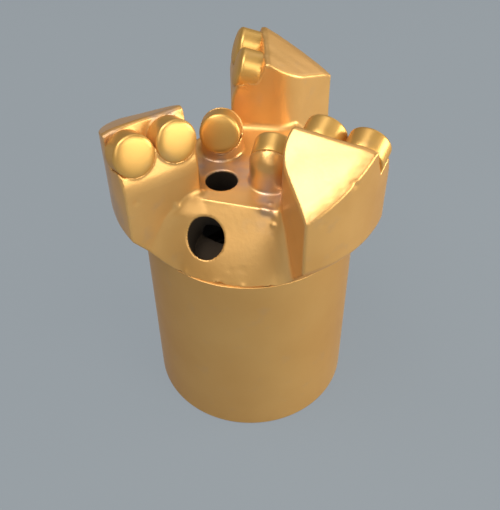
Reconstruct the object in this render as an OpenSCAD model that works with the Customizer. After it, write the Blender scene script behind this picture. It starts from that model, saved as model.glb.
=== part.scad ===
// Three-wing drill bit with a concave cutting face.
// A cast crown with three wings is bonded to a turned steel shank. Two cutters are brazed
// side by side on the front of each wing, and two more stand on posts in the hollow.
// The bit stands on its shank, with the cutting face up and its axis on Z.
// Seen from above it turns anticlockwise, so each cutter faces anticlockwise too.

/* [Bit] */
// Diameter that the outer cutters sweep
bit_d = 94; // [93.6:0.1:98]
// Distance that the gauge faces of the wings stand inside the circle swept by the cutters
gauge_clear = 0.4; // [0.3:0.1:1.5]
// Direction of the first wing's row of cutters, anticlockwise from +X
first_wing_az = 91.3; // [0:0.1:120]

/* [Shank] */
// Outside diameter of the steel shank
shank_d = 73.6; // [70:0.2:76]
// Length of the shank below the crown
shank_len = 77.2; // [65:0.2:120]
// Chamfer at the foot of the shank
shank_chamfer = 0.6; // [0.4:0.1:2]
// Diameter of the socket for the drill rod, at the root of its thread
socket_d = 58; // [50:0.5:60]
// Depth of the socket
socket_len = 50; // [40:1:54]
// Diameter of the plain pilot at the mouth of the socket
pilot_d = 61; // [60.5:0.5:64]
// Depth of the pilot
pilot_len = 5; // [3:0.5:6]
// Diameter of the crown's spigot, which sits in the top of the shank
spigot_d = 60; // [56:0.5:62]
// Length of the spigot
spigot_len = 8; // [6:0.5:10]
// Bond film between the crown and the shank
bond = 0.1; // [0.05:0.01:0.2]

/* [Crown] */
// Height of the hollow's floor above the shoulder
floor_h = 21.8; // [20:0.2:26]
// Height above the shoulder at which the wings reach the gauge
gauge_h = 12.6; // [11:0.2:16]
// Overhang of the cast edge past the shank
lip = 0.3; // [0.1:0.1:0.6]
// Distance from the axis to the slot panel at the floor
ridge_r = 21.7; // [20:0.1:24]
// Radius of the hub at the floor, beside the panels
hub_top_r = 28.3; // [26:0.1:30]
// Direction of each slot panel, measured from the row of cutters behind it
panel_az = 43; // [38:0.5:48]
// Fillet between the inner end of a wing and the floor
end_fillet = 2.4; // [1:0.2:3]

/* [Wings] */
// Height of the land on top of a wing, above the floor
land_h = 24.9; // [22:0.1:28]
// Width of the land behind the pockets
land_w = 1.6; // [1:0.1:4]
// Slope of the relief behind the land
relief_angle = 30.4; // [20:0.2:36]
// Distance of a wing's front face ahead of the axis
wing_front = 5.4; // [5:0.1:6]
// Height above the floor at which the front starts to lean back under the cutters
band_h = 10.8; // [9:0.1:12]
// Lean of the front under the cutters
band_lean = 22; // [15:0.5:26]
// Distance from the middle of the mid cutter to the front edge of a wing's inner end
end_margin = 5.68; // [5:0.01:7]
// Lean of the inner end away from the square
end_lean = 7.7; // [0:0.1:12]
// Direction of the back edge at the gauge, clockwise from the row of cutters
tail_az = 41.6; // [36:0.2:46]
// Direction of the wing's back side, clockwise from the row of cutters
side_az = 42.8; // [38:0.2:46]
// Radius between the inner end and the back side
wing_corner_r = 13; // [6:0.5:15]

/* [Cutters] */
// Diameter of a cutter
cutter_d = 13.4; // [12:0.02:13.6]
// Length of a cutter
cutter_len = 8; // [6:0.1:9]
// Chamfer round the face of a cutter
cutter_chamfer = 0.5; // [0.2:0.1:0.8]
// Back rake of the cutters
back_rake = 18.4; // [10:0.2:24]
// Gap between the outer and the mid cutter of a wing
cutter_gap = 0.5; // [0.3:0.1:1.5]
// Height of a wing cutter's centre above the floor
cutter_h = 20.55; // [19:0.05:23]
// Distance of the cutter faces' centres ahead of the axis
face_ahead = 3.4; // [2.5:0.1:4]
// Braze film round a cutter
braze = 0.1; // [0.05:0.01:0.2]

/* [Inner cutters] */
// Distance of each post from the axis
post_r = 11.8; // [11.4:0.1:12.4]
// Diameter of a post
post_d = 14.4; // [13.6:0.1:15]
// Direction of the first post, anticlockwise from +X
first_post_az = 138; // [132:1:144]
// Direction of the second post, anticlockwise from +X
second_post_az = 308; // [302:1:314]
// Turn of each inner cutter towards the axis
post_turn = 37; // [30:1:44]
// Height of the dome's centre above the floor
dome_h = 7.7; // [7:0.1:9]
// Distance of an inner cutter's face ahead of its post's axis
inner_ahead = 6.7; // [5.5:0.1:7.5]
// Height of an inner cutter's centre above the floor
inner_h = 10.2; // [9:0.1:11]

/* [Water ways] */
// Diameter of the water hole in each slot
slot_hole_d = 12.2; // [9:0.1:13]
// Distance from the axis to a water hole's mouth
slot_hole_r = 29.3; // [28:0.1:31]
// Direction of a water hole, measured from the row of cutters behind it
slot_hole_az = 30.3; // [28:0.1:36]
// Slope of a water hole above the level
slot_hole_slope = 62; // [56:1:66]
// Diameter of the water hole in the floor
floor_hole_d = 10.5; // [8:0.1:11]
// Distance from the axis to the hole in the floor
floor_hole_r = 12.6; // [11:0.1:13]
// Direction of the hole in the floor, anticlockwise from +X
floor_hole_az = 226; // [215:1:235]
// Depth of a water hole in a slot
slot_hole_len = 9; // [7:0.5:9.5]
// Diameter of the chamber that feeds the water holes
chamber_d = 46; // [44:0.5:48]
// Thickness of the crown between the chamber and the floor
roof_t = 11; // [9:0.5:13]

/* [Hidden] */
$fn = 96;
// Depth that a fillet is rooted in the solid behind it
root = 1;
// How far an arc runs past the faces that it blends, so that they cross and don't just touch
blend = 0.02;
wing_count = 3;
wing_pitch = 360 / wing_count;
post_az = [first_post_az, second_post_az];
gold = [0.80, 0.62, 0.36];
pale_gold = [0.93, 0.77, 0.45];

shank_r = shank_d / 2;
gauge_r = bit_d / 2 - gauge_clear;
cutter_r = cutter_d / 2;
crown_z = shank_len;
spigot_z = crown_z - spigot_len;
socket_z = pilot_len + (pilot_d - socket_d) / 2;
floor_z = crown_z + floor_h;
gauge_z = crown_z + gauge_h;
land_z = floor_z + land_h;
cutter_z = floor_z + cutter_h;
blank_top = land_z + cutter_d;
reach = bit_d;

// The outer cutter's rim sweeps the bit's diameter, and the mid cutter stands beside it
outer_x = sqrt(pow(bit_d / 2, 2) - pow(face_ahead, 2)) - cutter_r;
mid_x = outer_x - cutter_d - cutter_gap;
// The land starts where the back of the pockets comes out on top
pocket_back = cutter_len + braze;
land_front = face_ahead - (pocket_back + (land_z - cutter_z) * sin(back_rake)) / cos(back_rake);
land_back = land_front - land_w;
panel_slope = atan2(floor_h, shank_r + lip - ridge_r);

// Plan of a wing: front edge of the inner end, turn of the end, and back edge at the gauge
end_dir = -90 - end_lean;
side_dir = -side_az;
tail = gauge_r * [cos(tail_az), -sin(tail_az)];
end_start = [mid_x - end_margin, wing_front];
corner = meet(end_start, end_dir, tail, side_dir);
corner_turn = side_dir - end_dir;
corner_run = wing_corner_r * tan(corner_turn / 2);
corner_centre = corner - corner_run * ray(end_dir) + wing_corner_r * ray(end_dir + 90);

function ray(a) = [cos(a), sin(a)];
function cross2(a, b) = a[0] * b[1] - a[1] * b[0];
// Point where the line through p along direction a meets the line through q along direction b
function meet(p, a, q, b) = p + ray(a) * cross2(q - p, ray(b)) / cross2(ray(a), ray(b));

// Puts a child into the frame of each wing: +X along the row of cutters, +Y ahead
module at_wing(i) {
    rotate([0, 0, first_wing_az + wing_pitch * i]) children();
}

// Frame of a wing cutter: origin in the middle of its face, +Y out of the face, +Z up the face
module at_wing_cutter(i, x) {
    at_wing(i)
        translate([x, face_ahead, cutter_z])
            rotate([back_rake, 0, 0]) children();
}

// Frame of a post: origin on its axis at the floor, +Y towards the side that its cutter faces
module at_post(k) {
    rotate([0, 0, post_az[k]])
        translate([post_r, 0, floor_z])
            rotate([0, 0, post_turn]) children();
}

module at_inner_cutter(k) {
    at_post(k)
        translate([0, inner_ahead, inner_h])
            rotate([back_rake, 0, 0]) children();
}

// Cutter, from its face at y = 0 back along -Y
module cutter() {
    rotate([90, 0, 0])
        rotate_extrude()
            polygon([
                [0, 0],
                [cutter_r - cutter_chamfer, 0],
                [cutter_r, cutter_chamfer],
                [cutter_r, cutter_len],
                [0, cutter_len]
            ]);
}

// Room for a cutter and its braze, open ahead of the face
module pocket(ahead) {
    translate([0, ahead, 0])
        rotate([90, 0, 0]) cylinder(h = ahead + pocket_back, r = cutter_r + braze);
}

// Turned envelope of the crown, with the flare from the shank to the gauge
module envelope() {
    rotate_extrude()
        polygon([
            [0, crown_z],
            [shank_r + lip, crown_z],
            [gauge_r, gauge_z],
            [gauge_r, blank_top],
            [0, blank_top]
        ]);
}

// Everything outside one slot panel, in the frame of the wing behind the slot
module outside_panel() {
    rotate([0, 0, panel_az])
        translate([ridge_r, 0, floor_z])
            rotate([0, panel_slope - 90, 0])
                translate([0, -reach, -reach]) cube([reach, 2 * reach, 2 * reach]);
}

// Hub below the floor, with the fillets that stand on it, cut by the three slot panels
module hub() {
    difference() {
        union() {
            rotate_extrude()
                polygon([
                    [0, crown_z],
                    [shank_r + lip, crown_z],
                    [hub_top_r, floor_z],
                    [0, floor_z]
                ]);
            for (i = [0 : wing_count - 1]) at_wing(i) end_fillets();
        }
        for (i = [0 : wing_count - 1]) at_wing(i) outside_panel();
    }
}

module wing_plan() {
    difference() {
        polygon([
            end_start,
            corner,
            tail,
            reach * ray(-tail_az),
            [reach, -reach],
            [reach, wing_front]
        ]);
        corner_waste();
    }
}

// What the round between the inner end and the back side leaves out
module corner_waste() {
    difference() {
        polygon([
            corner - corner_run * ray(end_dir),
            corner - (corner_centre - corner),
            corner + corner_run * ray(side_dir),
            corner_centre
        ]);
        translate(corner_centre) circle(r = wing_corner_r + blend);
    }
}

module wing(i) {
    intersection() {
        envelope();
        at_wing(i) difference() {
            translate([0, 0, crown_z]) linear_extrude(height = land_h + floor_h) wing_plan();
            relief_waste();
            band_waste();
        }
    }
}

// Front of a wing above the band, in the frame of the wing
module band_waste() {
    translate([-reach, wing_front, floor_z + band_h])
        rotate([-90 + band_lean, 0, 0])
            translate([0, -2 * reach, 0]) cube([3 * reach, 3 * reach, reach]);
}

// Section of a fillet in a corner at the origin, between +X and the direction given
module fillet_section(r, opening) {
    run = r / tan(opening / 2);
    centre = r / sin(opening / 2) * ray(opening / 2);
    difference() {
        polygon([[run, 0], centre, run * ray(opening), -root * ray(opening / 2)]);
        translate(centre) circle(r = r + blend);
    }
}

// Fillet on the floor along the inner end of a wing and round its corner
module end_fillets() {
    end_stop = corner - corner_run * ray(end_dir);
    translate([end_stop[0], end_stop[1], floor_z])
        rotate([90, 0, end_dir - 90])
            linear_extrude(height = norm(end_stop - end_start)) fillet_section(end_fillet, 90);
    translate([corner_centre[0], corner_centre[1], floor_z])
        rotate([0, 0, end_dir - 90])
            rotate_extrude(angle = corner_turn)
                translate([wing_corner_r, 0]) fillet_section(end_fillet, 90);
}

// Slope behind the land
module relief_waste() {
    translate([-reach, land_back, land_z])
        rotate([relief_angle, 0, 0])
            translate([0, -2 * reach, 0]) cube([3 * reach, 2 * reach, reach]);
}

// Notch over the lower half of the two pockets, back to the wall that they end at
module notch() {
    translate([mid_x - cutter_d, -pocket_back, 0]) cube([3 * cutter_d, reach, reach]);
}

module post(k) {
    at_post(k) {
        translate([0, 0, -floor_h / 2]) cylinder(h = floor_h / 2 + dome_h, d = post_d);
        translate([0, 0, dome_h]) sphere(d = post_d);
    }
}

// Chamber in the shank and crown, and the water holes that it feeds
module water_ways() {
    for (i = [0 : wing_count - 1])
        at_wing(i) rotate([0, 0, slot_hole_az]) slot_hole();
    rotate([0, 0, floor_hole_az])
        translate([floor_hole_r, 0, floor_z - 2 * roof_t]) cylinder(h = 3 * roof_t, d = floor_hole_d);
    translate([0, 0, socket_len - 1])
        cylinder(h = floor_z - roof_t - socket_len + 1, d = chamber_d);
}

// Water hole bored down into the chamber from the face of a slot panel
module slot_hole() {
    mouth_r = slot_hole_r * cos(panel_az - slot_hole_az);
    mouth_z = floor_z - (mouth_r - ridge_r) * tan(panel_slope);
    translate([slot_hole_r, 0, mouth_z])
        rotate([0, 90 - slot_hole_slope, 0])
            translate([0, 0, -slot_hole_len]) cylinder(h = slot_hole_len + floor_h, d = slot_hole_d);
}

module crown() {
    color(gold) difference() {
        union() {
            hub();
            for (i = [0 : wing_count - 1]) wing(i);
            for (k = [0 : len(post_az) - 1]) post(k);
            translate([0, 0, spigot_z + bond]) cylinder(h = spigot_len, d = spigot_d - 2 * bond);
        }
        for (i = [0 : wing_count - 1]) {
            at_wing_cutter(i, 0) notch();
            at_wing_cutter(i, outer_x) pocket(cutter_len);
            at_wing_cutter(i, mid_x) pocket(cutter_len);
        }
        for (k = [0 : len(post_az) - 1]) at_inner_cutter(k) pocket(cutter_len);
        water_ways();
    }
}

module shank() {
    color(gold) difference() {
        rotate_extrude()
            polygon([
                [0, 0],
                [shank_r - shank_chamfer, 0],
                [shank_r, shank_chamfer],
                [shank_r, shank_len - bond],
                [0, shank_len - bond]
            ]);
        rotate_extrude()
            polygon([
                [0, -1],
                [pilot_d / 2, -1],
                [pilot_d / 2, pilot_len],
                [socket_d / 2, socket_z],
                [socket_d / 2, socket_len],
                [0, socket_len]
            ]);
        translate([0, 0, spigot_z]) cylinder(h = 2 * spigot_len, d = spigot_d);
        water_ways();
    }
}

module wing_cutter(i, x) {
    color(pale_gold) at_wing_cutter(i, x) cutter();
}

module inner_cutter(k) {
    color(pale_gold) at_inner_cutter(k) cutter();
}

shank();
crown();
wing_cutter(0, outer_x);  // outer_cutter_1
wing_cutter(1, outer_x);  // outer_cutter_2
wing_cutter(2, outer_x);  // outer_cutter_3
wing_cutter(0, mid_x);  // mid_cutter_1
wing_cutter(1, mid_x);  // mid_cutter_2
wing_cutter(2, mid_x);  // mid_cutter_3
inner_cutter(0);  // inner_cutter_1
inner_cutter(1);  // inner_cutter_2
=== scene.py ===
"""Three-wing drill bit, dressed for a studio picture.

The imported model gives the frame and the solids. The crown is modelled again here as the
casting it is, with its fillets, soft edges and braze. The shank gets its thread and the
cutters their rounded rims. Sizes are in millimetres, unless a name ends in _m.
"""
import logging
import math
from dataclasses import dataclass
from enum import Enum
from typing import Callable

import bpy
import numpy as np
from mathutils import Matrix, Vector


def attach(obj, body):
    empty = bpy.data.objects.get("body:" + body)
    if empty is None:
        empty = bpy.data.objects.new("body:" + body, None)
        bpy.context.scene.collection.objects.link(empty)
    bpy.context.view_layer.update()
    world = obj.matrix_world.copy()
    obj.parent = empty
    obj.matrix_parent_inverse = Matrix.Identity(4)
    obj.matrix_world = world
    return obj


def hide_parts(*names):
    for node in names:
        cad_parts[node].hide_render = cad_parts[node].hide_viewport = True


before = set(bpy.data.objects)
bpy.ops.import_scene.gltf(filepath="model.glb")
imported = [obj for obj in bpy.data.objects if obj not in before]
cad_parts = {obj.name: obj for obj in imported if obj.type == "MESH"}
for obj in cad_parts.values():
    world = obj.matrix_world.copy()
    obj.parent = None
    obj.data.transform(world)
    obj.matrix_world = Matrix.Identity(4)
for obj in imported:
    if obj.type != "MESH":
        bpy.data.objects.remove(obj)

log = logging.getLogger("drill_bit")
MM = 0.001
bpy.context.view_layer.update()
Array = np.ndarray


def linear(hex_colour: str) -> tuple[float, float, float, float]:
    """Turn an sRGB hex value into a linear colour.

    Args:
        hex_colour: Six hex digits after a hash.

    Returns:
        Red, green, blue and alpha, linear.
    """
    values = [int(hex_colour[i:i + 2], 16) / 255 for i in (1, 3, 5)]
    return (*[v / 12.92 if v <= 0.04045 else ((v + 0.055) / 1.055) ** 2.4 for v in values], 1.0)


def ray(degrees: float) -> Array:
    """Give the unit vector in the plan at an angle from +X."""
    angle = math.radians(degrees)
    return np.array([math.cos(angle), math.sin(angle)])


def meet(p: Array, along_p: Array, q: Array, along_q: Array) -> Array:
    """Find where two lines of the plan cross.

    Args:
        p: A point of the first line.
        along_p: Its direction.
        q: A point of the second line.
        along_q: Its direction.

    Returns:
        The crossing point.
    """
    def cross(a: Array, b: Array) -> float:
        """Give the signed area that two vectors of the plan span."""
        return a[0] * b[1] - a[1] * b[0]

    return p + along_p * cross(q - p, along_q) / cross(along_p, along_q)


def both(a: Array, b: Array, radius: Array | float) -> Array:
    """Intersect two fields, with the edge between them rounded.

    Args:
        a: Distance to the first solid, negative inside.
        b: Distance to the second solid.
        radius: Radius of the edge.

    Returns:
        Distance to what both hold.
    """
    over = np.hypot(np.maximum(a + radius, 0), np.maximum(b + radius, 0))
    return np.minimum(np.maximum(a, b), -radius) + over


def either(a: Array, b: Array, radius: Array | float) -> Array:
    """Join two fields, with a fillet of the given radius in the corner between them.

    Args:
        a: Distance to the first solid, negative inside.
        b: Distance to the second solid.
        radius: Radius of the fillet.

    Returns:
        Distance to what either holds.
    """
    return -both(-a, -b, radius)


def smooth_step(value: Array, start: float, stop: float) -> Array:
    """Rise from 0 at start to 1 at stop, level at both ends."""
    t = np.clip((value - start) / (stop - start), 0, 1)
    return t * t * (3 - 2 * t)


def waves(p: Array, length: float, seed: int) -> Array:
    """Make a slow uneven surface out of a few crossed waves.

    Args:
        p: Points, three arrays.
        length: Typical length of a wave.
        seed: Start of the random directions, so each run is the same.

    Returns:
        A value of about -1 to 1 at each point.
    """
    source = np.random.default_rng(seed)
    total = 0.0
    count = 6
    for _ in range(count):
        way = source.normal(size=3)
        way *= 2 * math.pi / (length * source.uniform(0.7, 1.6) * np.linalg.norm(way))
        phase = source.uniform(0, 2 * math.pi)
        total = total + np.sin(way[0] * p[0] + way[1] * p[1] + way[2] * p[2] + phase)
    return total / math.sqrt(count)


class Slot(Enum):
    """The record's material slots, one named for each piece."""

    CASTING = "painted_casting"
    STEEL = "painted_steel"
    CUTTER = "painted_cutter"


@dataclass(frozen=True)
class Spot:
    """A soft round patch of the skin, in millimetres, and how strong it is."""

    x: float
    y: float
    z: float
    radius: float
    amount: float

    def away_squared(self, p: Array) -> Array:
        """Give the squared distance of points from the spot's middle, in spot radii."""
        return ((p[0] - self.x) ** 2 + (p[1] - self.y) ** 2 + (p[2] - self.z) ** 2) / self.radius ** 2


@dataclass
class Place:
    """A frame in the part: its origin and its axes as rows."""

    origin: Array
    axes: Array

    def local(self, p: Array) -> Array:
        """Give points in this frame's own axes."""
        moved = [p[i] - np.float32(self.origin[i]) for i in range(3)]
        return [sum(np.float32(row[i]) * moved[i] for i in range(3)) for row in self.axes]

    def matrix_m(self) -> Matrix:
        """Give the matrix that puts a piece modelled in metres into this frame.

        Returns:
            A 4 by 4 matrix.
        """
        out = Matrix.Identity(4)
        for column in range(3):
            for row in range(3):
                out[row][column] = float(self.axes[column][row])
        out.translation = Vector([float(v) * MM for v in self.origin])
        return out


@dataclass
class BitSizes:
    """Sizes that the sub-assemblies share, as the part's source gives them."""

    bit_d: float = 94.0
    gauge_clear: float = 0.4
    first_wing_az: float = 91.3
    wings: int = 3
    shank_d: float = 73.6
    shank_len: float = 77.2
    lip: float = 0.3
    floor_h: float = 21.8
    bond: float = 0.1
    cutter_d: float = 13.4
    cutter_len: float = 8.0
    back_rake: float = 18.4
    cutter_gap: float = 0.5
    cutter_h: float = 20.55
    face_ahead: float = 3.4
    post_r: float = 11.8
    post_az: tuple[float, float] = (138.0, 308.0)
    post_turn: float = 37.0
    inner_ahead: float = 6.7
    inner_h: float = 10.2

    @property
    def floor_z(self) -> float:
        """Height of the hollow's floor."""
        return self.shank_len + self.floor_h

    @property
    def outer_x(self) -> float:
        """Distance of an outer cutter's centre along its row."""
        return math.sqrt((self.bit_d / 2) ** 2 - self.face_ahead ** 2) - self.cutter_d / 2

    @property
    def mid_x(self) -> float:
        """Distance of a mid cutter's centre along its row."""
        return self.outer_x - self.cutter_d - self.cutter_gap

    def wing_azimuth(self, index: int) -> float:
        """Direction of a wing's row of cutters."""
        return self.first_wing_az + 360 / self.wings * index

    def raked(self, azimuth: float, ahead: Array, centre: Array) -> Place:
        """Make a cutter's frame: X across, Y out of the face, Z up the face.

        Args:
            azimuth: Direction of the frame's X axis in the plan.
            ahead: Level direction that the face looks in.
            centre: Middle of the face.

        Returns:
            The frame.
        """
        rake = math.radians(self.back_rake)
        across = np.array([*ray(azimuth), 0.0])
        level = np.array([*ahead, 0.0])
        up = np.array([0.0, 0.0, 1.0])
        out = level * math.cos(rake) + up * math.sin(rake)
        top = up * math.cos(rake) - level * math.sin(rake)
        return Place(centre, np.array([across, out, top]))

    def wing_cutter(self, index: int, x: float) -> Place:
        """Make the frame of a wing's cutter.

        Args:
            index: Number of the wing, from 0.
            x: Distance of the cutter's middle along the row.

        Returns:
            The frame.
        """
        azimuth = self.wing_azimuth(index)
        plan = ray(azimuth) * x + ray(azimuth + 90) * self.face_ahead
        centre = np.array([*plan, self.floor_z + self.cutter_h])
        return self.raked(azimuth, ray(azimuth + 90), centre)

    def inner_cutter(self, index: int) -> Place:
        """Make the frame of the cutter on a post.

        Args:
            index: Number of the post, from 0.

        Returns:
            The frame.
        """
        azimuth = self.post_az[index] + self.post_turn
        plan = ray(self.post_az[index]) * self.post_r + ray(azimuth + 90) * self.inner_ahead
        centre = np.array([*plan, self.floor_z + self.inner_h])
        return self.raked(azimuth, ray(azimuth + 90), centre)

    def cutters(self) -> dict[str, Place]:
        """Make the frame of every cutter.

        Returns:
            Name of the cutter's node to its frame.
        """
        out = {}
        for i in range(self.wings):
            out[f"outer_cutter_{i + 1}"] = self.wing_cutter(i, self.outer_x)
            out[f"mid_cutter_{i + 1}"] = self.wing_cutter(i, self.mid_x)
        for k in range(len(self.post_az)):
            out[f"inner_cutter_{k + 1}"] = self.inner_cutter(k)
        return out


def add_node(tree: bpy.types.NodeTree, kind: str, values: dict | None = None,
             links: dict | None = None, **settings: object) -> bpy.types.Node:
    """Add a node with its settings, socket values and links.

    Args:
        tree: Node tree of a material or world.
        kind: Blender's name for the node.
        values: Input socket to value.
        links: Input socket to the output socket that feeds it.
        **settings: Properties of the node.

    Returns:
        The new node.
    """
    node = tree.nodes.new(kind)
    for name, value in settings.items():
        setattr(node, name, value)
    for name, value in (values or {}).items():
        node.inputs[name].default_value = value
    for name, source in (links or {}).items():
        tree.links.new(source, node.inputs[name])
    return node


@dataclass(frozen=True)
class GoldPaint:
    """Satin gold paint, sprayed over metal.

    Fine bronze flakes in a clear amber film. The eye gets a satin glow that runs from
    cream where it faces a lamp to orange brown where it turns away. Inside the holes the
    spray thins out, and dark oxidised metal shows.
    """

    name: str = "gold_paint_on_casting"
    # The film drifts between these two as its thickness changes.
    light_hex: str = "#EDBB72"
    deep_hex: str = "#E0AA60"
    # Amber over bronze stays warm where it is seen on edge.
    edge_hex: str = "#E6B27A"
    # Dry overspray and thin paint look pinkish grey. The same grey also stands as a painted reflection of
    # grey surroundings, on the left gauge and the hollow's floor.
    dust_and_reflection_hex: str = "#B59F94"
    bare_hex: str = "#292724"
    bare_roughness: float = 0.75
    thins_inside: bool = True
    metallic: float = 0.6
    roughness: float = 0.34
    roughness_low: float = 0.05
    roughness_high: float = 0.06
    coat: float = 0.48
    coat_roughness: float = 0.3
    drift_mm: float = 26.0
    # The roughness drifts over a shorter length than the colour, by this share.
    rub_share: float = 0.4
    dust_mm: float = 7.0
    dust: float = 0.16
    # Foundry sand leaves a grain of about 0.4 mm, too fine to show, so it is drawn four times as coarse.
    grain_mm: float = 1.6
    grain_depth_mm: float = 0.08
    # The spray's orange peel is about 0.3 mm, and is drawn twice as coarse so that it shows.
    peel_mm: float = 0.6
    peel_depth_mm: float = 0.008
    bump: float = 0.6

    def colour(self, tree: bpy.types.NodeTree, place: bpy.types.NodeSocket,
               bare: bpy.types.NodeSocket) -> bpy.types.NodeSocket:
        """Blend the paint's drift, a little dry overspray, greyish patches and the bare metal; the patches
        are partly thin spray and partly a painted reflection.

        Args:
            tree: Node tree of the material.
            place: Coordinates of the surface, in metres.
            bare: How bare of paint the place is.

        Returns:
            The colour.
        """
        drift = add_node(tree, "ShaderNodeTexNoise", {"Scale": 1 / (self.drift_mm * MM), "Detail": 3.0},
                         {"Vector": place})
        depth = add_node(tree, "ShaderNodeMapRange", {"From Min": 0.3, "From Max": 0.7},
                         {"Value": drift.outputs["Fac"]})
        film = add_node(tree, "ShaderNodeMixRGB",
                        {"Color1": linear(self.deep_hex), "Color2": linear(self.light_hex)},
                        {"Fac": depth.outputs["Result"]})
        spray = add_node(tree, "ShaderNodeTexNoise", {"Scale": 1 / (self.dust_mm * MM), "Detail": 5.0},
                         {"Vector": place})
        flecks = add_node(tree, "ShaderNodeMapRange",
                          {"From Min": 0.6, "From Max": 0.75, "To Min": 0.0, "To Max": self.dust},
                          {"Value": spray.outputs["Fac"]})
        # The thin share is partly thin spray, and partly a painted reflection of grey surroundings on the
        # left gauge and the hollow's floor.
        thin = add_node(tree, "ShaderNodeAttribute", attribute_name="thin").outputs["Fac"]
        grey = add_node(tree, "ShaderNodeMath", links={0: flecks.outputs["Result"], 1: thin},
                        operation="MAXIMUM")
        dust_and_reflection_mix = add_node(tree, "ShaderNodeMixRGB", {"Color2": linear(self.dust_and_reflection_hex)},
                         {"Fac": grey.outputs[0], "Color1": film.outputs["Color"]})
        mixed = add_node(tree, "ShaderNodeMixRGB", {"Color2": linear(self.bare_hex)},
                         {"Fac": bare, "Color1": dust_and_reflection_mix.outputs["Color"]})
        return mixed.outputs["Color"]

    def relief(self, tree: bpy.types.NodeTree, place: bpy.types.NodeSocket) -> bpy.types.NodeSocket:
        """Lay the paint's orange peel over the grain of the casting.

        Args:
            tree: Node tree of the material.
            place: Coordinates of the surface, in metres.

        Returns:
            The bent normal.
        """
        normal = None
        for size, depth, detail in ((self.grain_mm, self.grain_depth_mm, 3.0),
                                    (self.peel_mm, self.peel_depth_mm, 2.0)):
            height = add_node(tree, "ShaderNodeTexNoise", {"Scale": 1 / (size * MM), "Detail": detail},
                              {"Vector": place})
            links = {"Height": height.outputs["Fac"]} | ({"Normal": normal} if normal else {})
            layer = add_node(tree, "ShaderNodeBump", {"Strength": self.bump, "Distance": depth * MM}, links)
            normal = layer.outputs["Normal"]
        return normal

    def make(self) -> bpy.types.Material:
        """Build the material's nodes.

        Returns:
            The finished material.
        """
        material = bpy.data.materials.new(self.name)
        material.use_nodes = True
        tree = material.node_tree
        shader = tree.nodes["Principled BSDF"]
        place = add_node(tree, "ShaderNodeTexCoord").outputs["Object"]
        bare = add_node(tree, "ShaderNodeAttribute", attribute_name="bare").outputs["Fac"]
        tree.links.new(self.colour(tree, place, bare), shader.inputs["Base Color"])
        rub_mm = self.drift_mm * self.rub_share
        rub = add_node(tree, "ShaderNodeTexNoise", {"Scale": 1 / (rub_mm * MM), "Detail": 4.0},
                       {"Vector": place})
        film = add_node(tree, "ShaderNodeMapRange",
                        {"To Min": self.roughness - self.roughness_low,
                         "To Max": self.roughness + self.roughness_high},
                        {"Value": rub.outputs["Fac"]})
        rough = add_node(tree, "ShaderNodeMapRange", {"To Max": self.bare_roughness},
                         {"Value": bare, "To Min": film.outputs["Result"]})
        tree.links.new(rough.outputs["Result"], shader.inputs["Roughness"])
        tree.links.new(self.relief(tree, place), shader.inputs["Normal"])
        for socket, full in (("Metallic", self.metallic), ("Coat Weight", self.coat)):
            shader.inputs[socket].default_value = full
            if self.thins_inside:
                level = add_node(tree, "ShaderNodeMapRange", {"To Min": full, "To Max": 0.0},
                                 {"Value": bare})
                tree.links.new(level.outputs["Result"], shader.inputs[socket])
        shader.inputs["Specular Tint"].default_value = linear(self.edge_hex)
        shader.inputs["Coat Roughness"].default_value = self.coat_roughness
        return material


def mesh_piece(name: str, vertices: Array, faces: Array, place: Matrix | None = None) -> bpy.types.Object:
    """Make an object from vertices in millimetres, smooth shaded.

    Args:
        name: Name of the piece.
        vertices: N by 3, in millimetres.
        faces: M by 4, each a row of vertex numbers.
        place: Matrix applied to the vertices in metres.

    Returns:
        The new object, linked into the scene.
    """
    mesh = bpy.data.meshes.new(name)
    points = np.asarray(vertices, dtype=np.float64) * MM
    if place is not None:
        matrix = np.array(place)
        points = points @ matrix[:3, :3].T + matrix[:3, 3]
    mesh.vertices.add(len(points))
    mesh.vertices.foreach_set("co", points.astype(np.float32).ravel())
    mesh.loops.add(faces.size)
    mesh.loops.foreach_set("vertex_index", faces.astype(np.int32).ravel())
    mesh.polygons.add(len(faces))
    mesh.polygons.foreach_set("loop_start", np.arange(0, faces.size, faces.shape[1], dtype=np.int32))
    mesh.update(calc_edges=True)
    mesh.validate()
    mesh.polygons.foreach_set("use_smooth", np.ones(len(mesh.polygons), dtype=bool))
    piece = bpy.data.objects.new(name, mesh)
    bpy.context.scene.collection.objects.link(piece)
    return piece


def mark(piece: bpy.types.Object, name: str, share: Array) -> None:
    """Store a share at each vertex, for the finish to read.

    Args:
        piece: The piece.
        name: Name of the share.
        share: A number from 0 to 1 for each vertex.
    """
    layer = piece.data.attributes.new(name, "FLOAT", "POINT")
    layer.data.foreach_set("value", np.asarray(share, dtype=np.float32).ravel())


def finish_piece(piece: bpy.types.Object, material: bpy.types.Material, slot: Slot, *nodes: str) -> None:
    """Give a piece its finish and let it stand for its node.

    Args:
        piece: The piece.
        material: Its finish.
        slot: The record's material slot. Not used.
        *nodes: Names of the nodes that it stands for.
    """
    piece.data.materials.append(material)
    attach(piece, "root")
    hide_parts(*nodes)
    log.info("%s: %d faces", piece.name, len(piece.data.polygons))


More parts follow.
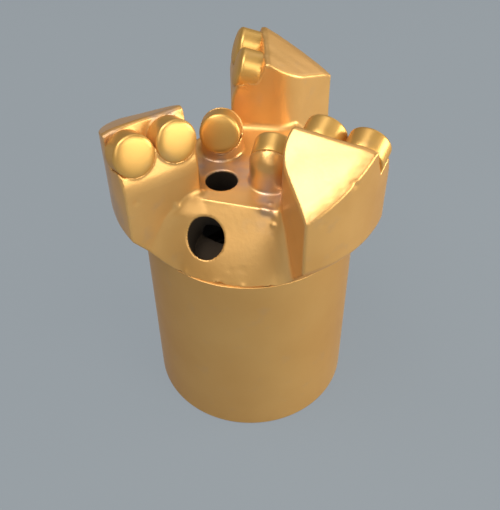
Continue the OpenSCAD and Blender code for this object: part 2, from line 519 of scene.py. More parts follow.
@dataclass
class Skin:
    """Turns a field of distances into a mesh, by surface nets."""

    step: float
    low: tuple[float, float, float]
    high: tuple[float, float, float]
    # Layers of the grid that are worked out at once, to save memory.
    slab: int = 24
    # Vertices settle in rounds. The slope is measured over this reach, and a move is a share of a cell.
    rounds: int = 3
    reach: float = 0.08
    least_slope: float = 0.2
    stride: float = 0.4

    def axes(self) -> list[Array]:
        """Give the grid's positions along each axis."""
        return [np.arange(self.low[i], self.high[i] + self.step, self.step, dtype=np.float32)
                for i in range(3)]

    def mesh(self, shape: Callable[[list[Array]], Array]) -> tuple[Array, Array]:
        """Mesh the zero surface of a field.

        Args:
            shape: Field that takes three arrays and gives distances, negative inside.

        Returns:
            Vertices in millimetres, and faces of four.
        """
        axes = self.axes()
        sides = [len(a) for a in axes]
        values = np.empty(sides, dtype=np.float32)
        for start in range(0, sides[2], self.slab):
            stop = start + self.slab
            part = np.meshgrid(axes[0], axes[1], axes[2][start:stop], indexing="ij")
            values[:, :, start:stop] = shape(part)
        inside = values < 0
        count = np.zeros([n - 1 for n in sides], dtype=np.int8)
        corners = [(i, j, k) for i in (0, 1) for j in (0, 1) for k in (0, 1)]
        for i, j, k in corners:
            count += inside[i:sides[0] - 1 + i, j:sides[1] - 1 + j, k:sides[2] - 1 + k]
        cells = np.argwhere((count > 0) & (count < 8))
        number = np.full(count.shape, -1, dtype=np.int32)
        number[tuple(cells.T)] = np.arange(len(cells))
        vertices = self.crossings(values, cells, axes)
        faces = self.quads(inside, number)
        return self.settle(shape, vertices), faces

    def crossings(self, values: Array, cells: Array, axes: list[Array]) -> Array:
        """Put each cell's vertex at the mean of where the surface crosses its edges.

        Args:
            values: Field on the grid.
            cells: Lowest corner of each cell that the surface passes through.
            axes: The grid's positions along each axis.

        Returns:
            One vertex for each cell.
        """
        total = np.zeros((len(cells), 3))
        hits = np.zeros(len(cells))
        for axis in range(3):
            others = [a for a in range(3) if a != axis]
            for u in (0, 1):
                for v in (0, 1):
                    near = np.zeros(3, dtype=int)
                    near[others[0]] = u
                    near[others[1]] = v
                    far = near.copy()
                    far[axis] = 1
                    a = values[tuple((cells + near).T)]
                    b = values[tuple((cells + far).T)]
                    crossed = (a < 0) != (b < 0)
                    t = np.where(crossed, a / np.where(crossed, a - b, 1), 0)
                    spot = near[None, :] + t[:, None] * (far - near)[None, :]
                    total += np.where(crossed[:, None], spot, 0)
                    hits += crossed
        start = np.array([a[0] for a in axes])
        return start + (cells + total / hits[:, None]) * self.step

    def quads(self, inside: Array, number: Array) -> Array:
        """Join the vertices round each grid edge that the surface crosses.

        Args:
            inside: Whether each grid point is inside.
            number: Vertex number of each cell.

        Returns:
            Faces of four vertices.
        """
        out = []
        for axis in range(3):
            b, c = (axis + 1) % 3, (axis + 2) % 3
            near = np.moveaxis(inside, (axis, b, c), (0, 1, 2))
            cell = np.moveaxis(number, (axis, b, c), (0, 1, 2))
            first, last = near[:-1, 1:-1, 1:-1], near[1:, 1:-1, 1:-1]
            spots = np.argwhere(first != last)
            leaving = first[tuple(spots.T)]
            i, j, k = spots.T
            ring = np.stack([cell[i, j, k], cell[i, j + 1, k], cell[i, j + 1, k + 1], cell[i, j, k + 1]], 1)
            ring[~leaving] = ring[~leaving][:, ::-1]
            out.append(ring)
        return np.concatenate(out)

    def settle(self, shape: Callable[[list[Array]], Array], vertices: Array) -> Array:
        """Move the vertices onto the surface.

        Args:
            shape: The field.
            vertices: Vertices near the surface.

        Returns:
            Vertices on the surface.
        """
        points = vertices.astype(np.float32)
        for _ in range(self.rounds):
            here = shape(list(points.T))
            slope = np.empty_like(points)
            for axis in range(3):
                shift = np.zeros(3, dtype=np.float32)
                shift[axis] = self.reach
                rise = shape(list((points + shift).T)) - shape(list((points - shift).T))
                slope[:, axis] = rise / (2 * self.reach)
            steep = np.maximum((slope ** 2).sum(1), self.least_slope)
            move = (here / steep)[:, None] * slope
            length = np.linalg.norm(move, axis=1, keepdims=True)
            points -= move * np.minimum(1, self.stride * self.step / np.maximum(length, 1e-9))
        return points


@dataclass
class Crown:
    """The cast crown: a hub with three wings, two posts and the water ways, in one casting.

    Each shape is a field, the distance to its surface in millimetres, negative inside.
    Fields are cut and joined with rounded edges and fillets, as a mould would leave them.
    """

    sizes: BitSizes
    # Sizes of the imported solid.
    gauge_h: float = 12.6
    ridge_r: float = 21.7
    hub_top_r: float = 28.3
    panel_az: float = 43.0
    land_h: float = 24.9
    land_w: float = 1.6
    relief_angle: float = 30.4
    wing_front: float = 5.4
    band_h: float = 10.8
    band_lean: float = 22.0
    end_margin: float = 5.68
    end_lean: float = 7.7
    tail_az: float = 41.6
    side_az: float = 42.8
    wing_corner_r: float = 13.0
    post_d: float = 14.4
    dome_h: float = 7.7
    spigot_d: float = 60.0
    spigot_len: float = 8.0
    slot_hole_d: float = 12.2
    slot_hole_r: float = 29.3
    slot_hole_az: float = 30.3
    slot_hole_slope: float = 62.0
    slot_hole_len: float = 9.0
    floor_hole_d: float = 10.5
    floor_hole_r: float = 12.6
    floor_hole_az: float = 226.0
    chamber_d: float = 46.0
    roof_t: float = 11.0
    post_root: float = 10.0
    # Fillets where the wings and posts grow out of the hub. They are wide in the slots, and widest in front.
    end_fillet: float = 2.4
    slot_fillet: float = 7.0
    back_fillet: float = 4.5
    fillet_low: float = 5.0
    fillet_high: float = 1.5
    fillet_turn: float = 6.0
    post_fillet: float = 1.0
    # Radii of the edges.
    edge_r: float = 0.9
    band_r: float = 1.2
    flare_r: float = 1.0
    seam_r: float = 3.0
    floor_edge_r: float = 0.3
    gauge_edge_r: float = 0.4
    thin_edge_r: float = 0.15
    hole_edge_r: float = 0.3
    # The dressed bevel between a wing's top and its gauge face.
    bevel_h: float = 0.5
    bevel_turn: float = 21.0
    bevel_r: float = 1.5
    bevel_wander: float = 0.04
    bevel_wave: float = 3.0
    # The cutters' seats and their braze. Both change near the gauge, where the wall runs out thin.
    seat_edge_r: float = 0.3
    seat_widening: float = 0.6
    notch_edge_r: float = 0.4
    inner_room: float = 0.25
    inner_edge_r: float = 0.2
    braze_r: float = 0.8
    braze_inset: float = 0.3
    braze_stop: float = 1.2
    near_gauge: tuple[float, float] = (4.0, 1.5)
    # The skin: fine unevenness, a slow swell, the folded crest over each slot and the ragged lip.
    unevenness: float = 0.04
    uneven_wave: float = 9.0
    swell: float = 0.1
    swell_wave: float = 26.0
    crest_h: float = 0.1
    crest_w: float = 0.8
    crest_drift: float = 0.6
    crest_wave: float = 12.0
    fold_wave: float = 5.0
    lip_wander: float = 0.35
    lip_wave: float = 7.0
    dents: tuple[Spot, ...] = (
        Spot(30.5, -35.3, 117.3, 1.2, 0.7), Spot(-6.3, -33.4, 81.8, 0.9, 0.12),
        Spot(-2.5, -34.1, 82.4, 1.1, 0.14), Spot(-33.6, -26.8, 104.8, 1.0, 0.3),
        Spot(-14.5, -33.4, 79.0, 0.9, 0.3), Spot(21.0, -41.0, 108.0, 0.9, 0.2))
    spatter: tuple[Spot, ...] = (
        Spot(4.6, -23.6, 99.0, 1.1, 0.5), Spot(6.2, -24.4, 98.8, 0.9, 0.6), Spot(8.0, -25.6, 98.0, 1.0, 0.5),
        Spot(7.4, -27.4, 95.6, 0.7, 0.5), Spot(6.6, -21.0, 99.2, 0.8, 0.35),
        Spot(-27.8, -24.5, 77.6, 1.3, 0.4), Spot(-20.9, -29.9, 77.9, 1.2, 0.35),
        Spot(-11.1, -35.3, 77.5, 1.4, 0.4), Spot(-2.2, -36.4, 77.6, 1.0, 0.3),
        Spot(-22.6, -20.0, 97.6, 1.0, 0.3), Spot(-16.0, -16.4, 98.6, 1.2, 0.4))
    # Greyish patches: the small ones are thin spray, and the four wide ones on the hollow's floor and the
    # left gauge are a painted reflection of grey surroundings.
    thin_spray_and_reflection_patches: tuple[Spot, ...] = (
        Spot(-1.2, -5.2, 99.0, 11.0, 0.75), Spot(-12.0, -1.3, 99.0, 8.0, 0.7),
        Spot(6.6, -18.5, 101.5, 7.0, 0.8), Spot(5.9, -24.1, 98.5, 3.5, 0.6),
        Spot(-45.0, -12.0, 108.0, 13.0, 0.6), Spot(-43.0, -18.0, 96.0, 12.0, 0.6),
        Spot(-38.5, -20.0, 123.0, 6.0, 0.6), Spot(-25.8, -7.2, 123.0, 6.0, 0.6))
    patch_wave: float = 4.0
    # Paint fails between these depths inside a drilled hole.
    bare_depth: tuple[float, float] = (0.05, 0.55)
    # The mesh: size of a cell, room round the casting, and the triangles that it may keep.
    step: float = 0.5
    margin: float = 1.5
    triangles: int = 190000

    @property
    def gauge_r(self) -> float:
        """Radius over the gauge faces."""
        return self.sizes.bit_d / 2 - self.sizes.gauge_clear

    @property
    def lip_r(self) -> float:
        """Radius of the cast edge over the shank."""
        return self.sizes.shank_d / 2 + self.sizes.lip

    @property
    def panel_slope(self) -> float:
        """Slope of a slot panel, in degrees above the level."""
        return math.degrees(math.atan2(self.sizes.floor_h, self.lip_r - self.ridge_r))

    @property
    def land_back(self) -> float:
        """Where the relief starts behind a wing's land.

        Returns:
            Distance ahead of the row of cutters.
        """
        s = self.sizes
        rake = math.radians(s.back_rake)
        rise = self.land_h - s.cutter_h
        front = s.face_ahead - (s.cutter_len + rise * math.sin(rake)) / math.cos(rake)
        return front - self.land_w

    def envelope(self, p: list[Array]) -> Array:
        """Turn the envelope: the gauge, and the flare down to the lip.

        Args:
            p: Three arrays of coordinates, in millimetres.

        Returns:
            Distance to the envelope.
        """
        r = np.hypot(p[0], p[1])
        rise, run = self.gauge_h, self.gauge_r - self.lip_r
        flare = ((r - self.lip_r) * rise - (p[2] - self.sizes.shank_len) * run) / math.hypot(rise, run)
        return both(r - self.gauge_r, flare, self.flare_r)

    def plan(self, x: Array, y: Array) -> Array:
        """Draw the plan of a wing: its inner end, round corner and back side.

        Args:
            x: Distance along the row of cutters.
            y: Distance ahead of it.

        Returns:
            Distance outside the plan.
        """
        start = np.array([self.sizes.mid_x - self.end_margin, self.wing_front])
        along_end = ray(-90 - self.end_lean)
        along_side = ray(-self.side_az)
        tail = self.gauge_r * ray(-self.tail_az)
        turn = math.radians(90 + self.end_lean - self.side_az)
        corner = meet(start, along_end, tail, along_side)
        centre = corner - along_end * self.wing_corner_r * math.tan(turn / 2)
        out_end = ray(180 - self.end_lean)
        out_side = ray(-90 - self.side_az)
        centre = centre - out_end * self.wing_corner_r
        u, v = x - centre[0], y - centre[1]
        end = (x - start[0]) * out_end[0] + (y - start[1]) * out_end[1]
        side = (x - tail[0]) * out_side[0] + (y - tail[1]) * out_side[1]
        on_arc = (u * along_end[0] + v * along_end[1] > 0) & (u * along_side[0] + v * along_side[1] < 0)
        return np.where(on_arc, np.hypot(u, v) - self.wing_corner_r, np.maximum(end, side))

    def wing(self, x: Array, y: Array, z: Array, envelope: Array, wander: Array) -> Array:
        """Form one wing, in its own frame: X along the row of cutters, Y ahead.

        Args:
            x: Distance along the row.
            y: Distance ahead of it.
            z: Height.
            envelope: Distance to the turned envelope.
            wander: How far the bevel's edge strays.

        Returns:
            Distance to the wing.
        """
        s = self.sizes
        lean = math.radians(self.band_lean)
        front = y - self.wing_front
        band = front * math.cos(lean) + (z - s.floor_z - self.band_h) * math.sin(lean)
        face = both(front, band, self.band_r)
        land = z - s.floor_z - self.land_h
        slope = math.radians(self.relief_angle)
        relief = land * math.cos(slope) - (y - self.land_back) * math.sin(slope)
        top = both(land, relief, self.thin_edge_r)
        turn = math.radians(self.bevel_turn)
        bevel = (top + self.bevel_h + wander) * math.cos(turn) + envelope * math.sin(turn)
        crest = both(both(top, bevel, self.bevel_r), envelope, self.thin_edge_r)
        sides = both(face, self.plan(x, y), self.edge_r)
        return both(sides, crest, self.edge_r)

    def hub(self, p: list[Array]) -> Array:
        """Form the hub: a cone cut by the three slot panels and the floor.

        Args:
            p: Three arrays of coordinates, in millimetres.

        Returns:
            Distance to the hub.
        """
        s = self.sizes
        r = np.hypot(p[0], p[1])
        fall, run = s.floor_h, self.lip_r - self.hub_top_r
        shape = ((r - self.lip_r) * fall + (p[2] - s.shank_len) * run) / math.hypot(fall, run)
        slope = math.radians(self.panel_slope)
        for i in range(s.wings):
            way = ray(s.wing_azimuth(i) + self.panel_az)
            out = p[0] * way[0] + p[1] * way[1] - self.ridge_r
            panel = out * math.sin(slope) + (p[2] - s.floor_z) * math.cos(slope)
            shape = both(shape, panel, self.seam_r)
        return both(shape, p[2] - s.floor_z, self.floor_edge_r)

    def post(self, p: list[Array], azimuth: float) -> Array:
        """Form one post with its dome.

        Args:
            p: Three arrays of coordinates, in millimetres.
            azimuth: Direction of the post from the axis.

        Returns:
            Distance to the post.
        """
        s = self.sizes
        spot = ray(azimuth) * s.post_r
        across = np.hypot(p[0] - spot[0], p[1] - spot[1])
        above = np.maximum(p[2] - s.floor_z - self.dome_h, 0)
        return np.maximum(np.hypot(across, above) - self.post_d / 2, s.floor_z - self.post_root - p[2])

    def water_ways(self, p: list[Array]) -> Array:
        """Form the chamber and the water holes, as one hollow.

        Args:
            p: Three arrays of coordinates, in millimetres.

        Returns:
            Distance to the hollow.
        """
        s = self.sizes
        hollow = np.maximum(np.hypot(p[0], p[1]) - self.chamber_d / 2, p[2] - s.floor_z + self.roof_t)
        spot = ray(self.floor_hole_az) * self.floor_hole_r
        drop = np.hypot(p[0] - spot[0], p[1] - spot[1]) - self.floor_hole_d / 2
        hollow = np.minimum(hollow, np.maximum(drop, s.floor_z - 2 * self.roof_t - p[2]))
        rise = math.radians(self.slot_hole_slope)
        panel = math.tan(math.radians(self.panel_slope))
        foot = self.slot_hole_r * math.cos(math.radians(self.panel_az - self.slot_hole_az))
        mouth_z = s.floor_z - (foot - self.ridge_r) * panel
        for i in range(s.wings):
            way = ray(s.wing_azimuth(i) + self.slot_hole_az)
            out = p[0] * way[0] + p[1] * way[1] - self.slot_hole_r
            aside = -p[0] * way[1] + p[1] * way[0]
            up = p[2] - mouth_z
            along = out * math.cos(rise) + up * math.sin(rise)
            tilt = out * math.sin(rise) - up * math.cos(rise)
            bore = np.maximum(np.hypot(tilt, aside) - self.slot_hole_d / 2, -along - self.slot_hole_len)
            hollow = np.minimum(hollow, bore)
        return hollow

    def field(self, p: list[Array]) -> Array:
        """Give the distance to the finished casting."""
        return both(self.casting(p), -self.water_ways(p), self.hole_edge_r)

    def blemishes(self, p: list[Array]) -> Array:
        """Tell how far the skin stands proud of the plain form.

        The floor's edge over each slot has a folded crest. Spatter and small dents are
        where the photograph shows them, and the whole skin swells a little.

        Args:
            p: Three arrays of coordinates, in millimetres.

        Returns:
            Height at each point, negative in a dent.
        """
        s = self.sizes
        # The swell is held 1.5 of its heights down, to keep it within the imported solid.
        out = (self.unevenness * waves(p, self.uneven_wave, 3)
               + self.swell * (waves(p, self.swell_wave, 5) - 1.5))
        fold = 0.55 + 0.45 * waves(p, self.fold_wave, 11)
        for i in range(s.wings):
            way = ray(s.wing_azimuth(i) + self.panel_az)
            drift = self.crest_drift * waves(p, self.crest_wave, 21 + i)
            off = p[0] * way[0] + p[1] * way[1] - self.ridge_r - drift
            near = (off ** 2 + (p[2] - s.floor_z) ** 2) / self.crest_w ** 2
            out = out + self.crest_h * fold * np.exp(-near)
        for sign, marks in ((-1, self.dents), (1, self.spatter)):
            for spot in marks:
                out = out + sign * spot.amount * np.exp(-spot.away_squared(p))
        return out.astype(np.float32)

    def casting(self, p: list[Array]) -> Array:
        """Form the casting before its water ways are drilled.

        Args:
            p: Three arrays of coordinates, in millimetres.

        Returns:
            Distance to the casting.
        """
        s = self.sizes
        envelope = self.envelope(p)
        shape = self.hub(p)
        wander = self.bevel_wander * waves(p, self.bevel_wave, 17).astype(np.float32)
        low = 1 - smooth_step(p[2], s.floor_z - self.fillet_low, s.floor_z + self.fillet_high)
        for i in range(s.wings):
            way = ray(s.wing_azimuth(i))
            x = p[0] * way[0] + p[1] * way[1]
            y = p[1] * way[0] - p[0] * way[1]
            ahead = smooth_step(y, -self.fillet_turn, 0.0)
            deep = self.back_fillet + (self.slot_fillet - self.back_fillet) * ahead
            fillet = self.end_fillet + (deep - self.end_fillet) * low
            shape = either(shape, self.wing(x, y, p[2], envelope, wander), fillet)
        for azimuth in s.post_az:
            shape = either(shape, self.post(p, azimuth), self.post_fillet)
        shape = both(shape, envelope, self.gauge_edge_r)
        lip = s.shank_len + self.lip_wander * waves(p, self.lip_wave, 29).astype(np.float32) - p[2]
        shape = both(shape - self.blemishes(p), lip, self.thin_edge_r)
        places = s.cutters()
        start, stop = self.near_gauge
        outward = smooth_step(np.hypot(p[0], p[1]), self.gauge_r - start, self.gauge_r - stop)
        edge = self.seat_edge_r + self.seat_widening * outward
        for name, place in places.items():
            shape = self.seat(shape, place.local(p), not name.startswith("inner"), edge)
        for name, place in places.items():
            if not name.startswith("inner"):
                shape = self.braze(shape, place.local(p), self.braze_r * (1 - outward))
        spigot = np.maximum(np.hypot(p[0], p[1]) - self.spigot_d / 2 + s.bond,
                            np.abs(p[2] - s.shank_len + self.spigot_len / 2) - self.spigot_len / 2 + s.bond)
        return np.minimum(shape, spigot)

    def thin_spray_and_reflection(self, vertices: Array) -> Array:
        """Tell where the skin is painted greyish, in set patches: partly thin spray, and on the left gauge
        and the hollow's floor a painted reflection of grey surroundings.

        Args:
            vertices: Points of the skin, in millimetres.

        Returns:
            A share from 0 to 1 for each point.
        """
        points = list(vertices.T)
        out = np.zeros(len(vertices))
        for spot in self.thin_spray_and_reflection_patches:
            away = np.sqrt(spot.away_squared(points))
            out = np.maximum(out, spot.amount * (1 - smooth_step(away, 0.4, 1.0)))
        return out * (0.8 + 0.2 * waves(points, self.patch_wave, 41))

    def seat(self, shape: Array, q: list[Array], notched: bool, edge: Array) -> Array:
        """Cut a cutter's half-round seat, and the notch over it.

        Args:
            shape: The casting so far.
            q: Points in the cutter's frame.
            notched: Whether everything above the cutter's axis goes too.
            edge: Radius of the seat's edge, wider towards the gauge, where the wall runs out thin.

        Returns:
            The casting with the seat cut.
        """
        s = self.sizes
        behind = -q[1] - s.cutter_len
        room_r = s.cutter_d / 2
        if notched:
            beside = np.abs(q[0]) - s.cutter_d
            shape = both(shape, -np.maximum(np.maximum(-q[2], behind), beside), self.notch_edge_r)
        else:
            room_r += self.inner_room
            edge = self.inner_edge_r
        room = np.maximum(np.hypot(q[0], q[2]) - room_r, behind)
        return both(shape, -np.maximum(room, q[1] - s.cutter_len), edge)

    def braze(self, shape: Array, q: list[Array], radius: Array) -> Array:
        """Run a braze fillet round a cutter's barrel.

        Args:
            shape: The casting so far.
            q: Points in the cutter's frame.
            radius: Radius of the fillet, which dies out towards the gauge.

        Returns:
            The casting with the fillet.
        """
        s = self.sizes
        barrel = np.hypot(q[0], q[2]) - s.cutter_d / 2 + self.braze_inset
        barrel = np.maximum(np.maximum(barrel, -q[1] - s.cutter_len), q[1] + self.braze_stop)
        filled = either(shape, barrel, radius + self.braze_inset)
        return np.maximum(filled, -barrel)

    def build(self, material: bpy.types.Material) -> None:
        """Mesh the casting and dress it.

        Args:
            material: Finish of the crown.
        """
        reach = self.gauge_r + self.margin
        skin = Skin(self.step, (-reach, -reach, self.sizes.shank_len - self.spigot_len - 1),
                    (reach, reach, self.sizes.floor_z + self.land_h + 2))
        vertices, faces = skin.mesh(self.field)
        piece = mesh_piece("crown_casting", vertices, faces)
        mark(piece, "bare", smooth_step(-self.casting(list(vertices.T)), *self.bare_depth))
        # The thin share is partly thin spray and partly a painted reflection.
        mark(piece, "thin", self.thin_spray_and_reflection(vertices))
        fewer = piece.modifiers.new("fewer_faces_on_flats", "DECIMATE")
        fewer.ratio = min(1.0, self.triangles / (2 * len(faces)))
        finish_piece(piece, material, Slot.CASTING, "crown")


@dataclass
class Shank:
    """The turned steel shank with its rod socket."""

    sizes: BitSizes
    chamfer: float = 0.6
    soft: float = 0.25
    foot_rise: float = 0.08
    socket_d: float = 58.0
    socket_len: float = 50.0
    pilot_d: float = 61.0
    pilot_len: float = 5.0
    spigot_d: float = 60.0
    spigot_len: float = 8.0
    chamber_d: float = 46.0
    pitch: float = 6.0
    thread_depth: float = 2.2
    thread_stop: float = 3.0
    # The ridge grows out of the bore over a pitch, from these distances inside the socket's two ends.
    ridge_low: float = 2.0
    ridge_high: float = 4.0
    # The spray reaches this far up the socket.
    spray_reach: float = 1.5
    segments: int = 224
    rows_per_turn: int = 12
    wall_rows: int = 12

    def outline(self) -> list[tuple[float, float, bool]]:
        """Draw the section as a closed ring.

        Returns:
            Radius, height, and whether the thread runs there, of each point.
        """
        r, top = self.sizes.shank_d / 2, self.sizes.shank_len - self.sizes.bond
        c, soft = self.chamfer, self.soft
        bore, chamber = self.spigot_d / 2, self.chamber_d / 2
        pilot, socket = self.pilot_d / 2, self.socket_d / 2
        thread_z = self.pilot_len + pilot - socket
        ring = [(pilot + soft, 0.0, False), (r - c - soft, 0.0, False), (r - c, self.foot_rise, False),
                (r - soft * 0.4, c - soft * 0.4, False), (r, c + soft, False)]
        wall = (top - c - 2 * soft) / self.wall_rows
        ring += [(r, c + soft + wall * t, False) for t in range(1, self.wall_rows)]
        ring += [(r, top - soft, False), (r - soft * 0.3, top - soft * 0.3, False), (r - soft, top, False),
                 (bore + soft, top, False), (bore, top - soft, False),
                 (bore, self.sizes.shank_len - self.spigot_len, False),
                 (chamber + soft, self.sizes.shank_len - self.spigot_len, False),
                 (chamber, self.sizes.shank_len - self.spigot_len - soft, False),
                 (chamber, self.socket_len + soft, False), (chamber + soft, self.socket_len, False),
                 (socket, self.socket_len, False)]
        end = self.socket_len - self.thread_stop
        rows = int((end - thread_z) / self.pitch * self.rows_per_turn)
        ring += [(socket, end - i * self.pitch / self.rows_per_turn, True) for i in range(rows)]
        ring += [(socket, thread_z, False), (pilot, self.pilot_len, False), (pilot, soft, False)]
        return ring

    def ridge(self, z: Array, turn: Array) -> Array:
        """Shape the thread's ridge: flat crest and root with sloped flanks.

        Args:
            z: Height.
            turn: Turns about the axis, from 0 to 1.

        Returns:
            Height of the ridge over the bore.
        """
        start, stop = self.pilot_len + self.ridge_low, self.socket_len - self.ridge_high
        phase = (z / self.pitch - turn) % 1.0
        # Root and crest take three tenths of the pitch each, and each flank a fifth.
        tooth = np.clip((0.5 - np.abs(phase - 0.5)) * 5 - 0.75, 0, 1)
        fade = smooth_step(z, start, start + self.pitch) * (1 - smooth_step(z, stop - self.pitch, stop))
        return self.thread_depth * tooth * fade

    def build(self, material: bpy.types.Material) -> None:
        """Turn the section round the axis, cut the thread and dress the shank.

        Args:
            material: Finish of the shank.
        """
        ring = self.outline()
        turn = np.arange(self.segments) / self.segments
        r = np.array([row[0] for row in ring])[:, None] + 0 * turn
        z = np.array([row[1] for row in ring])[:, None] + 0 * turn
        threaded = np.array([row[2] for row in ring])[:, None]
        r = r - np.where(threaded, self.ridge(z, turn[None, :]), 0)
        angle = 2 * math.pi * turn[None, :]
        vertices = np.stack([r * np.cos(angle), r * np.sin(angle), z], -1).reshape(-1, 3)
        rows, cols = r.shape
        i, j = np.meshgrid(np.arange(rows), np.arange(cols), indexing="ij")
        i, j = i.ravel(), j.ravel()
        after, beside = (i + 1) % rows, (j + 1) % cols
        faces = np.stack([i * cols + j, i * cols + beside, after * cols + beside, after * cols + j], 1)
        piece = mesh_piece("shank_turned", vertices, faces)
        socket = np.hypot(vertices[:, 0], vertices[:, 1]) < self.pilot_d / 2 + 0.1
        mark(piece, "bare", socket & (vertices[:, 2] > self.spray_reach))
        edges = piece.modifiers.new("crisp_shoulders", "WEIGHTED_NORMAL")
        edges.keep_sharp = True
        finish_piece(piece, material, Slot.STEEL, "shank")


@dataclass
class Cutters:
    """The eight round cutters, each a short cylinder with a slightly domed face and a rounded rim."""

    sizes: BitSizes
    rim_depth: float = 1.3
    dome: float = 0.4
    back_r: float = 0.4
    segments: int = 96

    def outline(self) -> list[tuple[float, float]]:
        """Draw a cutter's section, from the middle of its face to the middle of its back.

        Returns:
            Radius, and depth behind the face, of each point.
        """
        r, length = self.sizes.cutter_d / 2, self.sizes.cutter_len
        # The points draw together towards the rim, where the section bends.
        shares = (0.0, 0.3, 0.5, 0.65, 0.75, 0.82, 0.88, 0.92, 0.95, 0.972, 0.987, 0.996, 1.0)
        ring = [(r * t, self.dome * t * t + self.rim_depth * (1 - math.sqrt(1 - t ** 8))) for t in shares]
        ring += [(r, length * t) for t in (0.25, 0.5, 0.75)]
        ring += [(r - self.back_r * (1 - math.cos(a)), length - self.back_r * (1 - math.sin(a)))
                 for a in np.linspace(0, math.pi / 2, 4)]
        ring += [(r * 0.5, length), (0.0, length)]
        return ring

    def build(self, material: bpy.types.Material) -> None:
        """Make and dress every cutter.

        Args:
            material: Finish of the cutters.
        """
        ring = self.outline()
        angle = np.linspace(0, 2 * math.pi, self.segments, endpoint=False)
        body = np.array(ring[1:-1])
        x = body[:, 0, None] * np.cos(angle)
        z = body[:, 0, None] * np.sin(angle)
        y = -body[:, 1, None] + 0 * angle
        vertices = np.stack([x, y, z], -1).reshape(-1, 3)
        vertices = np.vstack([vertices, [0, -ring[0][1], 0], [0, -ring[-1][1], 0]])
        rows, cols = x.shape
        i, j = np.meshgrid(np.arange(rows - 1), np.arange(cols), indexing="ij")
        i, j = i.ravel(), j.ravel()
        beside = (j + 1) % cols
        faces = np.stack([i * cols + j, i * cols + beside, (i + 1) * cols + beside, (i + 1) * cols + j], 1)
        around = np.arange(0, cols, 2)
        front, back = rows * cols, rows * cols + 1
        last = (rows - 1) * cols
        caps = [(front, (j + 2) % cols, (j + 1) % cols, j) for j in around]
        caps += [(back, last + j, last + (j + 1) % cols, last + (j + 2) % cols) for j in around]
        faces = np.vstack([faces, np.array(caps)])
        for name, place in self.sizes.cutters().items():
            piece = mesh_piece(f"{name}_disc", vertices, faces, place.matrix_m())
            finish_piece(piece, material, Slot.CUTTER, name)


@dataclass(frozen=True)
class Lamp:
    """A soft square lamp: its direction from the bit, its side in metres, its watts and its colour."""

    name: str
    azimuth: float
    elevation: float
    side_m: float
    watts: float
    colour_hex: str


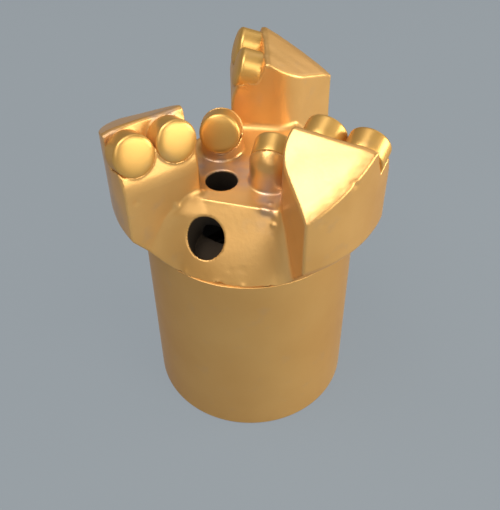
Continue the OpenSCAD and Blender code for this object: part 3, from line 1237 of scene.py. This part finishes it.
@dataclass
class Studio:
    """Floor, lamps, world and camera."""

    # The floor and the backdrop share one cool grey.
    backdrop_hex: str = "#949CA2"
    floor_hex: tuple[str, str] = ("#A9AFB3", "#AEB4B8")
    floor_even: float = 0.9
    floor_side_m: float = 6.0
    mottle_per_m: float = 9.0
    room_hex: str = "#A88A70"
    room_strength: float = 0.1
    lamp_reach_m: float = 0.9
    aim_m: tuple[float, float, float] = (0.0, 0.0, 0.09)
    lights: tuple[Lamp, ...] = (
        Lamp("key_overhead", 198.0, 63.0, 0.46, 3.3, "#FFFFFF"),
        Lamp("top_soft", 190.0, 80.0, 0.6, 2.9, "#FFFFFF"),
        Lamp("left_front", 235.0, 44.0, 0.5, 1.0, "#FFFDF8"),
        Lamp("front_left", 255.0, 30.0, 0.45, 0.75, "#FFFDF8"),
        Lamp("back_soft", 78.0, 52.0, 0.5, 0.55, "#F6F4FF"),
        Lamp("back_right_low", 49.0, 20.0, 0.4, 0.5, "#FFFFFF"),
        Lamp("right_high", 315.0, 40.0, 0.5, 2.4, "#FFFDF4"),
        Lamp("right_front_low", 322.0, 14.0, 0.5, 3.0, "#FFFBEC"),
        Lamp("right_low", 0.0, 8.0, 0.5, 6.6, "#FFF8E8"))
    camera_side_m: float = 0.000128
    camera_back_m: float = 0.200375
    camera_up_m: float = 0.253592
    camera_pitch: float = 44.63
    camera_roll: float = -0.74
    focal_px: float = 758.41
    frame_px: tuple[int, int] = (500, 510)
    sensor_mm: float = 36.0

    def seen(self, tree: bpy.types.NodeTree) -> bpy.types.NodeSocket:
        """Tell the rays that show the backdrop, seen or mirrored, from those that light things.

        Args:
            tree: Node tree of the floor's material or the world.

        Returns:
            1 for a camera, glossy or transmission ray, and 0 for any other.
        """
        path = add_node(tree, "ShaderNodeLightPath").outputs
        first = add_node(tree, "ShaderNodeMath", links={0: path["Is Camera Ray"], 1: path["Is Glossy Ray"]},
                         operation="MAXIMUM")
        through = path["Is Transmission Ray"]
        second = add_node(tree, "ShaderNodeMath", links={0: first.outputs[0], 1: through},
                          operation="MAXIMUM")
        return second.outputs[0]

    def floor(self) -> None:
        """Lay the pale floor, which shows the backdrop's colour and keeps the bit's shadow."""
        mesh = bpy.data.meshes.new("studio_floor")
        half = self.floor_side_m / 2
        mesh.from_pydata([(-half, -half, 0), (half, -half, 0), (half, half, 0), (-half, half, 0)], [],
                         [(0, 1, 2, 3)])
        floor = bpy.data.objects.new("studio_floor", mesh)
        bpy.context.scene.collection.objects.link(floor)
        material = bpy.data.materials.new("matt_floor_paint")
        material.use_nodes = True
        tree = material.node_tree
        shader = tree.nodes["Principled BSDF"]
        place = add_node(tree, "ShaderNodeTexCoord").outputs["Object"]
        mottle = add_node(tree, "ShaderNodeTexNoise", {"Scale": self.mottle_per_m, "Detail": 3.0},
                          {"Vector": place})
        level = add_node(tree, "ShaderNodeMapRange", {"From Min": 0.3, "From Max": 0.7},
                         {"Value": mottle.outputs["Fac"]})
        colour = add_node(tree, "ShaderNodeMixRGB",
                          {"Color1": linear(self.floor_hex[0]), "Color2": linear(self.floor_hex[1])},
                          {"Fac": level.outputs["Result"]})
        tree.links.new(colour.outputs["Color"], shader.inputs["Base Color"])
        shader.inputs["Roughness"].default_value = 0.9
        shader.inputs["Specular IOR Level"].default_value = 0.0
        glow = add_node(tree, "ShaderNodeEmission", {"Color": linear(self.backdrop_hex), "Strength": 1.0})
        share = add_node(tree, "ShaderNodeMath", {1: self.floor_even}, {0: self.seen(tree)},
                         operation="MULTIPLY")
        mix = add_node(tree, "ShaderNodeMixShader",
                       links={0: share.outputs[0], 1: shader.outputs[0], 2: glow.outputs[0]})
        tree.links.new(mix.outputs[0], tree.nodes["Material Output"].inputs["Surface"])
        floor.data.materials.append(material)

    def hang(self, lamp: Lamp) -> None:
        """Hang one soft lamp, facing the bit.

        Args:
            lamp: Where it hangs and how it shines.
        """
        turn, lift = math.radians(lamp.azimuth), math.radians(lamp.elevation)
        reach = self.lamp_reach_m
        aim = Vector(self.aim_m)
        where = aim + Vector((reach * math.cos(lift) * math.cos(turn),
                              reach * math.cos(lift) * math.sin(turn), reach * math.sin(lift)))
        data = bpy.data.lights.new(lamp.name, "AREA")
        data.size = lamp.side_m
        data.energy = lamp.watts
        data.color = linear(lamp.colour_hex)[:3]
        hung = bpy.data.objects.new(lamp.name, data)
        hung.location = where
        hung.rotation_euler = (aim - where).to_track_quat("-Z", "Y").to_euler()
        bpy.context.scene.collection.objects.link(hung)

    def world(self) -> None:
        """Fill the room with dim warm light, and show the camera the plain backdrop."""
        world = bpy.data.worlds.new("studio_room")
        bpy.context.scene.world = world
        world.use_nodes = True
        tree = world.node_tree
        tree.nodes.clear()
        room = add_node(tree, "ShaderNodeBackground", {"Color": linear(self.room_hex),
                                                       "Strength": self.room_strength})
        backdrop = add_node(tree, "ShaderNodeBackground",
                            {"Color": linear(self.backdrop_hex), "Strength": 1.0})
        camera = add_node(tree, "ShaderNodeLightPath").outputs["Is Camera Ray"]
        mix = add_node(tree, "ShaderNodeMixShader",
                       links={0: camera, 1: room.outputs[0], 2: backdrop.outputs[0]})
        add_node(tree, "ShaderNodeOutputWorld", links={"Surface": mix.outputs[0]})

    def camera(self) -> None:
        """Set the camera where the photograph was taken from."""
        data = bpy.data.cameras.new("photo_camera")
        data.sensor_width = self.sensor_mm
        data.lens = self.focal_px * self.sensor_mm / max(self.frame_px)
        data.clip_start = 0.01
        camera = bpy.data.objects.new("photo_camera", data)
        tilt = Matrix.Rotation(math.radians(90 - self.camera_pitch), 4, "X")
        roll = Matrix.Rotation(math.radians(self.camera_roll), 4, "Z")
        place = Matrix.Translation((self.camera_side_m, -self.camera_back_m, self.camera_up_m))
        camera.matrix_world = place @ tilt @ roll
        bpy.context.scene.collection.objects.link(camera)
        bpy.context.scene.camera = camera

    def build(self) -> None:
        """Set up the whole studio."""
        bpy.context.scene.view_settings.view_transform = "Standard"
        self.floor()
        # A wide soft key stands overhead to the left, and low fills on the right light that flank.
        for lamp in self.lights:
            self.hang(lamp)
        self.world()
        self.camera()


def main() -> None:
    """Build the studio and the bit, piece by piece."""
    logging.basicConfig(level=logging.INFO, format="%(name)s: %(message)s")
    sizes = BitSizes()
    Studio().build()
    casting = GoldPaint().make()
    # Turned steel and ground discs have no foundry grain, and their paint lies thinner and duller.
    turned = GoldPaint(name="gold_paint_on_steel", grain_depth_mm=0.0, dust=0.12, coat=0.3,
                       light_hex="#DFAF69", deep_hex="#D8A55F").make()
    ground = GoldPaint(name="gold_paint_on_discs", thins_inside=False, grain_depth_mm=0.0, coat=0.2,
                       light_hex="#E4B767", deep_hex="#DAA85B", dust=0.15).make()
    Crown(sizes).build(casting)
    Shank(sizes).build(turned)
    Cutters(sizes).build(ground)


if __name__ == "__main__":
    main()
